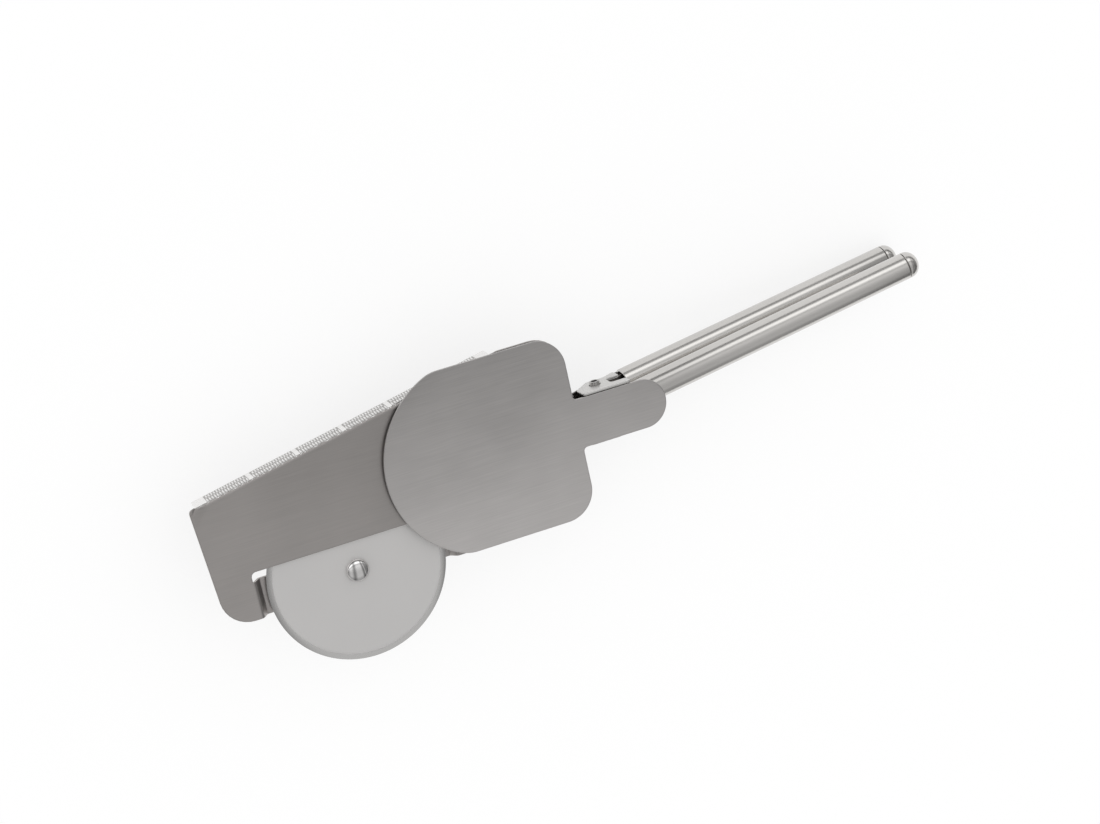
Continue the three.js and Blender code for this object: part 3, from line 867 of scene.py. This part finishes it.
@dataclass
class ServerJaw:
    """The server jaw: a rounded paddle with a neck, a round tab and two ears at the pivot."""

    bench: Bench
    sheet_thick: float = 1.0
    edge: float = 0.22
    back_z: float = 1.2
    axis_y: float = 29.9
    half: float = 36.4
    left_x: float = 17.8
    bulge: float = 2.1
    blend_r: float = 14.0
    right_x: float = 96.0
    corner_r: float = 12.0
    neck_half: float = 9.65
    neck_fillet: float = 1.6
    tab_end: float = 132.5
    ear_r: float = 4.4
    pin_hole: float = 2.3

    def outline(self) -> Array:
        """Outline of arcs: a bulged left end, two round corners, the neck's fillets and the tab's end.

        Returns:
            The outline, anticlockwise, without doubled points.
        """
        arc_r = self.half + self.bulge
        middle = self.left_x + arc_r
        dy = self.half - self.blend_r
        dx = -np.sqrt((arc_r - self.blend_r) ** 2 - dy ** 2)
        turn = np.degrees(np.arctan2(dy, dx))
        corner_x = self.right_x - self.corner_r
        neck_x = self.right_x + self.neck_fillet
        rise = self.neck_half + self.neck_fillet
        y = self.axis_y
        parts = [
            arc((middle + dx, y + dy), self.blend_r, 90, turn),
            arc((middle, y), arc_r, turn, 360 - turn, 2),
            arc((middle + dx, y - dy), self.blend_r, 360 - turn, 270),
            arc((corner_x, y - self.half + self.corner_r), self.corner_r, -90, 0),
            arc((neck_x, y - rise), self.neck_fillet, 180, 90, 10),
            arc((self.tab_end - self.neck_half, y), self.neck_half, -90, 90),
            arc((neck_x, y + rise), self.neck_fillet, 270, 180, 10),
            arc((corner_x, y + self.half - self.corner_r), self.corner_r, 0, 90),
        ]
        loop = np.concatenate(parts)
        step = np.linalg.norm(loop - np.roll(loop, 1, axis=0), axis=1)
        return loop[step > 1e-4]

    def blade(self) -> Surface:
        """The paddle, neck and tab as one flat sheet."""
        flat = sheet(spaced(self.outline(), 3.0), [], self.sheet_thick, self.edge)
        return flat.turned(np.eye(3), (0, 0, self.back_z + self.sheet_thick / 2))

    def ears(self) -> Surface:
        """Two ears that hang from the neck's edges and hold the pivot pin.

        Returns:
            Both ears, standing across the tool.
        """
        x, _, z = self.bench.pivot
        r = self.ear_r
        top = self.back_z + self.sheet_thick - self.edge
        shape = softened([
            (x - r, top, 0.6), (x - r, z - r, r - 0.1), (x + r, z - r, r - 0.1), (x + r + 3, top, 0.6)], 10.0)
        hole = arc((x, z), self.pin_hole, 0, -345, 15)
        flat = sheet(shape, [hole], self.sheet_thick, 0.15)
        reach = self.neck_half - self.sheet_thick / 2
        return standing(flat, self.axis_y - reach).joined(standing(flat, self.axis_y + reach))

    def build(self, finish: SteelFinish) -> None:
        """Make the jaw in one piece.

        Args:
            finish: Finish of the sheet.
        """
        surface = self.blade().joined(self.ears())
        self.bench.piece("server_paddle_sheet", surface, finish, Body.SERVER, Slot.SERVER, "server_paddle")


@dataclass(frozen=True)
class HandleAxis:
    """Where a handle tube starts, and how it rises across and lifts off the plates, in degrees."""

    start: tuple[float, float, float]
    rise: float
    lift: float

    def matrix(self) -> Array:
        """Axes of the handle as columns: along, across and up.

        Returns:
            A 3 x 3 matrix, the rise's turn times the lift's.
        """
        rise, lift = np.radians(self.rise), np.radians(-self.lift)
        turn = np.array([[np.cos(rise), -np.sin(rise), 0], [np.sin(rise), np.cos(rise), 0], [0, 0, 1]])
        tip = np.array([[np.cos(lift), 0, np.sin(lift)], [0, 1, 0], [-np.sin(lift), 0, np.cos(lift)]])
        return turn @ tip

    def point(self, along: float) -> Array:
        """Point on the axis at a distance along it."""
        return np.array(self.start) + along * self.matrix()[:, 0]


FRONT_AXIS = HandleAxis((124.0, 32.2, -5.0), 9.7, 3.5)
REAR_AXIS = HandleAxis((127.0, 34.4, -20.2), 7.2, -3.0)


@dataclass
class Handle:
    """One tube handle with its domed end cap."""

    bench: Bench
    axis: HandleAxis
    body: Body
    side: str
    radius: float = 5.25
    wall: float = 0.8
    length: float = 118.0
    early: float = 0.0
    clear: float = 0.3
    dome: float = 4.55
    cap_inset: float = 0.03
    spigot: float = 8.0
    lip: float = 0.3

    def placed(self, turned: Surface) -> Surface:
        """Lay a surface turned about z onto the handle's axis."""
        onto_x = np.array([[0, 0, 1], [1, 0, 0], [0, 1, 0]])
        return turned.turned(self.axis.matrix() @ onto_x, self.axis.start)

    def tube(self) -> Surface:
        """Hollow tube with rounded lips, its section carried round the axis.

        Returns:
            The tube about the z axis.
        """
        bore = self.radius - self.wall
        section = softened([
            (bore, -self.early, 0.2),
            (self.radius, -self.early, self.lip),
            (self.radius, self.length, self.lip),
            (bore, self.length, 0.2),
        ], 18.0)
        return lathe(section, 96, ring=True)

    def cap(self) -> Surface:
        """Domed cap with a short collar and the spigot that plugs the tube.

        Returns:
            The cap about the z axis.
        """
        seat = self.length + self.clear
        bore = self.radius - self.wall - self.clear
        crown = self.radius - self.cap_inset
        turn = np.linspace(0, np.pi / 2, 18)
        low = np.array([
            [0, seat - self.spigot], [bore - 0.4, seat - self.spigot], [bore, seat - self.spigot + 0.4],
            [bore, seat], [crown - 0.15, seat], [crown, seat + 0.15]])
        dome = np.stack([crown * np.cos(turn), seat + 0.6 + self.dome * np.sin(turn)], axis=1)
        dome[-1, 0] = 0.0
        return lathe(np.concatenate([low, dome]), 96)

    def build(self, finish: SteelFinish) -> None:
        """Make the tube and cap.

        Args:
            finish: Finish of both.
        """
        for part, turned in (("tube", self.tube()), ("cap", self.cap())):
            node = f"{self.side}_handle_{part}"
            name = f"{self.side}_{'grip_tube' if part == 'tube' else 'grip_cap'}"
            self.bench.piece(name, self.placed(turned), finish, self.body, Slot.TUBE, node)


@dataclass
class Tongue:
    """A flat strip that runs into the mouth of a handle tube."""

    axis: HandleAxis
    root: tuple[float, float, float]
    width: float = 7.8
    thick: float = 1.1
    inside: float = 14.0
    flat_start: float | None = None

    def surface(self) -> Surface:
        """Strip section carried from its root, through the bend, into the tube.

        Returns:
            The closed strip.
        """
        frame_axes = self.axis.matrix()
        path = [np.array(self.root)] + [self.axis.point(along) for along in (-1.2, 0.6, self.inside)]
        across = [np.array([0, 1, 0]), frame_axes[:, 1], frame_axes[:, 1], frame_axes[:, 1]]
        up = [np.array([0, 0, 1]), frame_axes[:, 2], frame_axes[:, 2], frame_axes[:, 2]]
        if self.flat_start is not None:
            path.insert(0, np.array([self.flat_start, *self.root[1:]]))
            across.insert(0, across[0])
            up.insert(0, up[0])
        section = bar_section(self.width, self.thick, 0.2)
        return carried(section, np.array(path), np.array(across), np.array(up))


@dataclass
class RearBracket:
    """The channel behind the long plate: lip, bent web, two flanges and the rear tongue."""

    bench: Bench
    axis_y: float = 29.9
    inner: float = 9.8
    thick: float = 1.2
    edge: float = 0.5
    top_z: float = 2.2
    low_top_z: float = -1.5
    low_edge: float = 0.3
    end_x: float = 120.0
    lip_x: float = 86.0
    plate_back: float = -1.0
    web_thick: float = 1.0
    pin_hole: float = 2.3

    def foot(self) -> list[Corner]:
        """Lower corners of both flanges, along the bent web."""
        x, _, z = self.bench.pivot
        return [
            (x - 7.9, z + 0.5, 1.2),
            (x - 1.8, z - 6.0, 2.0),
            (x + 5.6, z - 6.0, 2.0),
            (self.end_x - 1.0, z - 9.6, 1.0),
            (self.end_x - 0.6, z - 3.4, 1.0),
            (x + 5.6, z - 3.0, 1.2),
        ]

    def flange(self, head: list[Corner], edge: float) -> Surface:
        """Flange with the pin's hole, from its own upper corners and the shared lower ones.

        Args:
            head: Upper corners.
            edge: Radius of the rims' edges.

        Returns:
            The flat flange.
        """
        x, _, z = self.bench.pivot
        hole = arc((x, z), self.pin_hole, 0, -345, 15)
        return sheet(softened([head[-1], *self.foot(), *head[:-1]]), [hole], self.thick, edge)

    def near_flange(self) -> Surface:
        """Flange on the grater's side, with a prong above its slot."""
        x, _, z = self.bench.pivot
        return self.flange([
            (x + 5.6, z + 3.1, 1.2), (self.end_x, z + 3.1, 1.0), (self.end_x, self.top_z, 1.0),
            (x - 7.6, self.top_z, 1.0)], self.edge)

    def far_flange(self) -> Surface:
        """Lower flange on the wheel's side, covered by the server's neck."""
        x = self.bench.pivot[0]
        return self.flange([(x + 5.6, self.low_top_z, 1.2), (x - 7.7, self.low_top_z, 1.0)], self.low_edge)

    def web(self) -> Surface:
        """Bent web and lip: the strip's section carried along its bent path.

        Returns:
            The closed strip.
        """
        x, _, z = self.bench.pivot
        level = self.plate_back - self.web_thick / 2
        bends = np.array([
            (self.lip_x, level), (x - 11.3, level), (x - 10.7, level - 0.5), (x - 10.2, z + 0.3),
            (x - 9.6, z - 0.4), (x - 2.2, z - 5.2), (x - 1.2, z - 5.5), (x + 5.2, z - 5.5),
            (x + 5.9, z - 5.8), (self.end_x + 1.0, z - 10.6)])
        path = np.stack([bends[:, 0], np.full(len(bends), self.axis_y), bends[:, 1]], axis=1)
        run = unit(np.gradient(path, axis=0))
        across = np.array([0.0, 1.0, 0.0])
        section = bar_section(2 * (self.inner + 0.2), self.web_thick, 0.2)
        return carried(section, path, across, np.cross(run, across))

    def build(self, finish: SteelFinish, inside: SteelFinish) -> None:
        """Make the bracket as its flanges and its web with the tongue.

        Args:
            finish: Finish of the flanges.
            inside: Finish of the web and the tongue, near black as painted shade inside the channel.
        """
        reach = self.inner + self.thick / 2
        flanges = standing(self.near_flange(), self.axis_y + reach).joined(
            standing(self.far_flange(), self.axis_y - reach))
        self.bench.piece("rear_bracket_flanges", flanges, finish, Body.CUTTER, Slot.BRACKET, "rear_bracket")
        root = (self.end_x + 0.3, self.axis_y + 3.2, self.bench.pivot[2] - 11.4)
        web = self.web().joined(Tongue(REAR_AXIS, root).surface())
        self.bench.piece("rear_bracket_web", web, inside, Body.CUTTER, Slot.BRACKET)


@dataclass
class Pivot:
    """The hollow pin, the sleeve round it and the torsion spring on the sleeve."""

    bench: Bench
    flange_out: float = 11.0
    clear: float = 0.3
    pin_r: float = 2.0
    bore_r: float = 1.25
    proud: float = 1.4
    flush: float = 0.15
    sleeve_r: float = 2.95
    sleeve_half: float = 8.2
    coil_r: float = 3.8
    wire_r: float = 0.4
    turns: int = 5
    pitch: float = 2.1
    leg: float = 9.5
    start_angle: float = 90.0
    leg_angle: float = 152.0

    def across(self, turned: Surface) -> Surface:
        """Lay a surface turned about z along y, about the pivot."""
        return turned.turned(np.array([[1, 0, 0], [0, 0, 1], [0, -1, 0]]), self.bench.pivot)

    def pin(self) -> Surface:
        """Hollow pin, a little proud of the near flange and closed flush with the far one.

        Returns:
            The pin about the z axis.
        """
        near, far = self.flange_out + self.proud, -self.flange_out - self.flush
        profile = softened([
            (0.0, far, 0), (self.pin_r, far, 0.2), (self.pin_r, near, 0.25), (self.bore_r, near, 0.2),
            (self.bore_r, far + 2.0, 0.3), (0.0, far + 2.0, 0)], 15.0)
        return lathe(profile, 48)

    def sleeve(self) -> Surface:
        """Plain sleeve that the spring's coils lie on.

        Returns:
            The sleeve about the z axis.
        """
        bore = self.pin_r + self.clear
        half = self.sleeve_half
        return lathe(softened([
            (bore, -half, 0.1), (self.sleeve_r, -half, 0.15), (self.sleeve_r, half, 0.15), (bore, half, 0.1),
        ], 30.0), 48, ring=True)

    def spring(self) -> Surface:
        """Round wire carried along a helix with a straight leg at each end.

        On the coil the wire's middle is pivot + (R cos a, pitch a / 2 pi, R sin a); past either end it
        leaves along the tangent.

        Returns:
            The spring's closed surface.
        """
        start = np.radians(self.start_angle)
        sweep = 2 * np.pi * self.turns + np.radians(self.leg_angle)
        coil = self.coil_r * sweep
        along = np.linspace(-self.leg, coil + self.leg, 420)
        turned = np.clip(along / self.coil_r, 0, sweep)
        angle = start + turned
        spare = along - turned * self.coil_r
        path = np.stack([
            self.coil_r * np.cos(angle) - np.sin(angle) * spare,
            (turned - sweep / 2) / (2 * np.pi) * self.pitch,
            self.coil_r * np.sin(angle) + np.cos(angle) * spare], axis=1) + self.bench.pivot
        run = unit(np.gradient(path, axis=0))
        side = np.array([0.0, 1.0, 0.0])
        up = unit(side - run @ side[:, None] * run)
        return carried(arc((0, 0), self.wire_r, 0, 330, 30), path, np.cross(up, run), up)

    def build(self, turned: SteelFinish, bore: SteelFinish, plain: SteelFinish, wire: SteelFinish) -> None:
        """Make the pin, sleeve and spring.

        Args:
            turned: Finish of the pin.
            bore: Finish inside the pin, near black as painted shade.
            plain: Finish of the sleeve.
            wire: Finish of the spring.
        """
        piece = self.bench.piece
        surface = self.pin()
        pin = piece("pivot_pin_tube", self.across(surface), turned, Body.CUTTER, Slot.POLISHED, "pivot_pin")
        within = np.linalg.norm(surface.points[:, :2], axis=1) < self.bore_r + 0.01
        within &= surface.points[:, 2] > 1.0 - self.flange_out
        pin.data.materials.append(bore.found())
        inner = np.concatenate([within[block].all(axis=1) for block in surface.faces])
        pin.data.polygons.foreach_set("material_index", inner.astype(np.int32))
        sleeve = self.across(self.sleeve())
        piece("pivot_sleeve_tube", sleeve, plain, Body.CUTTER, Slot.BRACKET, "pivot_sleeve")
        piece("pivot_spring_wire", self.spring(), wire, Body.CUTTER, Slot.SPRING, "pivot_spring", 60.0)


@dataclass
class Studio:
    """A white floor, a soft surround and the camera at the photograph's angle."""

    floor_size: float = 6.0
    floor_lift: float = 0.72
    camera_place: tuple[float, float, float] = (-0.31033, 0.33554, 1.05321)
    camera_right: tuple[float, float, float] = (0.91953, -0.20719, 0.33397)
    camera_up: tuple[float, float, float] = (0.28511, 0.93653, -0.20399)
    camera_back: tuple[float, float, float] = (-0.27051, 0.2828, 0.92024)
    lens: float = 95.76
    sensor: float = 36.0
    surround: float = 2.5
    bands: tuple[tuple[float, float], ...] = (
        (-90, 0.35), (-62, 0.4), (-45, 0.58), (-30, 0.56), (-14, 0.56), (2, 0.67),
        (20, 0.85), (38, 0.62), (46, 1.5), (64, 1.5), (70, 0.48), (90, 0.36))
    side_bands: tuple[tuple[float, float], ...] = (
        (-1.0, 0.4), (-0.75, 1.0), (-0.55, 1.0), (-0.3, 0.4), (-0.22, 0.4), (0.0, 1.0), (0.42, 1.0),
        (0.54, 0.35), (0.64, 0.35), (0.67, 0.8), (0.71, 0.8), (0.74, 0.35), (1.0, 0.35))

    def camera(self) -> None:
        """Place the camera by its axes."""
        data = bpy.data.cameras.new("camera")
        data.lens = self.lens
        data.sensor_width = self.sensor
        data.sensor_fit = "HORIZONTAL"
        camera = bpy.data.objects.new("camera", data)
        axes = np.stack([self.camera_right, self.camera_up, self.camera_back, self.camera_place], axis=1)
        camera.matrix_world = Matrix(np.vstack([axes, [0, 0, 0, 1]]).tolist())
        bpy.context.scene.collection.objects.link(camera)
        bpy.context.scene.camera = camera

    def floor(self) -> None:
        """Lay the floor: white, and lifted towards white where the camera or a mirroring surface sees it."""
        half = self.floor_size / 2
        mesh = bpy.data.meshes.new("floor")
        corners = [(-half, -half, 0), (half, -half, 0), (half, half, 0), (-half, half, 0)]
        mesh.from_pydata(corners, [], [(0, 1, 2, 3)])
        floor = bpy.data.objects.new("floor", mesh)
        bpy.context.scene.collection.objects.link(floor)
        material = bpy.data.materials.new("floor_white")
        material.use_nodes = True
        nodes, links = material.node_tree.nodes, material.node_tree.links
        shader = nodes["Principled BSDF"]
        shader.inputs["Base Color"].default_value = (1, 1, 1, 1)
        shader.inputs["Roughness"].default_value = 1.0
        shader.inputs["Specular IOR Level"].default_value = 0.0
        white = nodes.new("ShaderNodeEmission")
        white.inputs["Strength"].default_value = 1.0
        lifted = nodes.new("ShaderNodeMixShader")
        links.new(self.seen(nodes, links), lifted.inputs["Fac"])
        links.new(shader.outputs["BSDF"], lifted.inputs[1])
        links.new(white.outputs["Emission"], lifted.inputs[2])
        links.new(lifted.outputs["Shader"], nodes["Material Output"].inputs["Surface"])
        mesh.materials.append(material)

    def seen(self, nodes: bpy.types.Nodes, links: bpy.types.NodeLinks) -> bpy.types.NodeSocket:
        """Add the floor's lift for camera, glossy and transmission rays, which leaves part of the shadow.

        Args:
            nodes: The floor material's nodes.
            links: Their links.

        Returns:
            The share of white over the lit floor.
        """
        path = nodes.new("ShaderNodeLightPath")
        total = path.outputs["Is Camera Ray"]
        for ray in ("Is Glossy Ray", "Is Transmission Ray"):
            either = nodes.new("ShaderNodeMath")
            either.operation = "MAXIMUM"
            links.new(total, either.inputs[0])
            links.new(path.outputs[ray], either.inputs[1])
            total = either.outputs["Value"]
        share = nodes.new("ShaderNodeMapRange")
        share.inputs["To Max"].default_value = self.floor_lift
        links.new(total, share.inputs["Value"])
        return share.outputs["Result"]

    def world(self) -> None:
        """Light the stage: white all round, with grey and bright bands over the tool that metal mirrors."""
        world = bpy.data.worlds.new("studio")
        bpy.context.scene.world = world
        world.use_nodes = True
        nodes, links = world.node_tree.nodes, world.node_tree.links
        plain = nodes["Background"]
        plain.inputs["Color"].default_value = (1, 1, 1, 1)
        plain.inputs["Strength"].default_value = 1.0
        place = nodes.new("ShaderNodeTexCoord")
        split = nodes.new("ShaderNodeSeparateXYZ")
        links.new(place.outputs["Generated"], split.inputs["Vector"])
        angle = nodes.new("ShaderNodeMath")
        angle.operation = "ARCTAN2"
        links.new(split.outputs["Y"], angle.inputs[0])
        links.new(split.outputs["Z"], angle.inputs[1])
        over = self.banded(nodes, links, angle.outputs["Value"], (np.pi / 2, 90.0), self.bands, self.surround)
        aside = self.banded(nodes, links, split.outputs["X"], (1.0, 1.0), self.side_bands, 1.0)
        level = nodes.new("ShaderNodeMath")
        level.operation = "MULTIPLY"
        links.new(over, level.inputs[0])
        links.new(aside, level.inputs[1])
        mirrored = nodes.new("ShaderNodeBackground")
        mirrored.inputs["Strength"].default_value = self.surround
        links.new(level.outputs["Value"], mirrored.inputs["Color"])
        path = nodes.new("ShaderNodeLightPath")
        mix = nodes.new("ShaderNodeMixShader")
        links.new(path.outputs["Is Glossy Ray"], mix.inputs["Fac"])
        links.new(plain.outputs["Background"], mix.inputs[1])
        links.new(mirrored.outputs["Background"], mix.inputs[2])
        links.new(mix.outputs["Shader"], nodes["World Output"].inputs["Surface"])

    def banded(self, nodes: bpy.types.Nodes, links: bpy.types.NodeLinks, value: bpy.types.NodeSocket,
               reach: tuple[float, float], bands: tuple[tuple[float, float], ...],
               full: float) -> bpy.types.NodeSocket:
        """Turn a value of the direction into the surround's level there.

        Args:
            nodes: The world's nodes.
            links: Their links.
            value: The value, from minus its reach to its reach.
            reach: The value's reach, and the bands' place there.
            bands: Pairs of place and level, in order.
            full: The level that is given as 1.

        Returns:
            The level as a share of the full one.
        """
        share = nodes.new("ShaderNodeMapRange")
        share.inputs["From Min"].default_value = -reach[0]
        share.inputs["From Max"].default_value = reach[0]
        links.new(value, share.inputs["Value"])
        ramp = nodes.new("ShaderNodeValToRGB")
        elements = ramp.color_ramp.elements
        elements.remove(elements[1])
        for i, (place, level) in enumerate(bands):
            position = (place / reach[1] + 1) / 2
            element = elements[0] if i == 0 else elements.new(position)
            element.position = position
            element.color = (level / full,) * 3 + (1,)
        links.new(share.outputs["Result"], ramp.inputs["Fac"])
        return ramp.outputs["Color"]

    def build(self) -> None:
        """Set the stage and the view."""
        bpy.context.scene.view_settings.view_transform = "Standard"
        self.camera()
        self.floor()
        self.world()


def main() -> None:
    """Build the tool's sub-assemblies in order."""
    logging.basicConfig(level=logging.INFO, format="%(name)s %(message)s")
    bench = Bench()
    # Painted light and shade: the plate's tone gets lighter towards -x and -y.
    plate = SteelFinish("satin_plate_steel", (0.455, 0.432, 0.418), Grain.LENGTHWISE, 0.42,
                        painted_shade_along=(-0.5, -0.87, 0.0), painted_shade_from=0.02, painted_shade_to=0.09, painted_shade_share=0.22)
    # Painted highlight: the folded edge and ribs are the plate's own sheet, given a much lighter tone for
    # their bright reflection.
    edge = SteelFinish("painted_highlight_edge_steel", (0.86, 0.85, 0.84), Grain.EVEN, 0.22, contrast=0.1, bump=0.05)
    # Painted shade: the folded edge between the ribs is darker for the shade there.
    gap_shade = SteelFinish("painted_rib_gap_shade_steel", (0.42, 0.41, 0.40), Grain.EVEN, 0.4, contrast=0.3)
    # Painted light and shade: the paddle's tone gets lighter towards -y.
    server = SteelFinish("brushed_server_steel", (0.56, 0.542, 0.532), Grain.LENGTHWISE, 0.40, contrast=0.6,
                         painted_shade_along=(0.0, -1.0, 0.0), painted_shade_from=-0.05, painted_shade_to=0.022, painted_shade_share=0.4)
    bracket = SteelFinish("bracket_steel", (0.38, 0.37, 0.36), Grain.EVEN, 0.34, contrast=0.3, bump=0.08)
    # Painted shade: the web, tongue and the pin's bore are plain steel made near black for the shade inside
    # the channel and the bore.
    inside = SteelFinish("painted_shade_channel_steel", (0.13, 0.12, 0.115), Grain.EVEN, 0.45, contrast=0.3)
    rim = SteelFinish("ground_rim_steel", (0.74, 0.73, 0.72), Grain.EVEN, 0.2, contrast=0.12, bump=0.02)
    ground = SteelFinish("wheel_face_steel", (0.87, 0.858, 0.848), Grain.EVEN, 0.58, contrast=0.12, bump=0.02)
    polished = SteelFinish("polished_steel", (0.54, 0.53, 0.52), Grain.EVEN, 0.07, contrast=0.15,
                           roughness_spread=0.02, bump=0.01)
    turned = SteelFinish("turned_pin_steel", (0.45, 0.44, 0.43), Grain.EVEN, 0.25, contrast=0.3)
    tube = SteelFinish("satin_tube_steel", (0.62, 0.605, 0.585), Grain.LENGTHWISE, 0.2, contrast=0.3,
                       roughness_spread=0.05)
    wire = SteelFinish("drawn_spring_wire", (0.42, 0.41, 0.40), Grain.EVEN, 0.3)
    Studio().build()
    CutterPlate(bench).build(plate, edge, gap_shade)
    CuttingWheel(bench).build(ground, rim, polished, bracket)
    ServerJaw(bench).build(server)
    Handle(bench, FRONT_AXIS, Body.SERVER, "front").build(tube)
    Handle(bench, REAR_AXIS, Body.CUTTER, "rear", early=3.0).build(tube)
    RearBracket(bench).build(bracket, inside)
    strip = Tongue(FRONT_AXIS, (118.6, 31.05, 0.65), flat_start=113.2).surface()
    bench.piece("front_tongue_strip", strip, bracket, Body.SERVER, Slot.BRACKET, "front_tongue")
    Pivot(bench).build(turned, inside, bracket, wire)


if __name__ == "__main__":
    main()
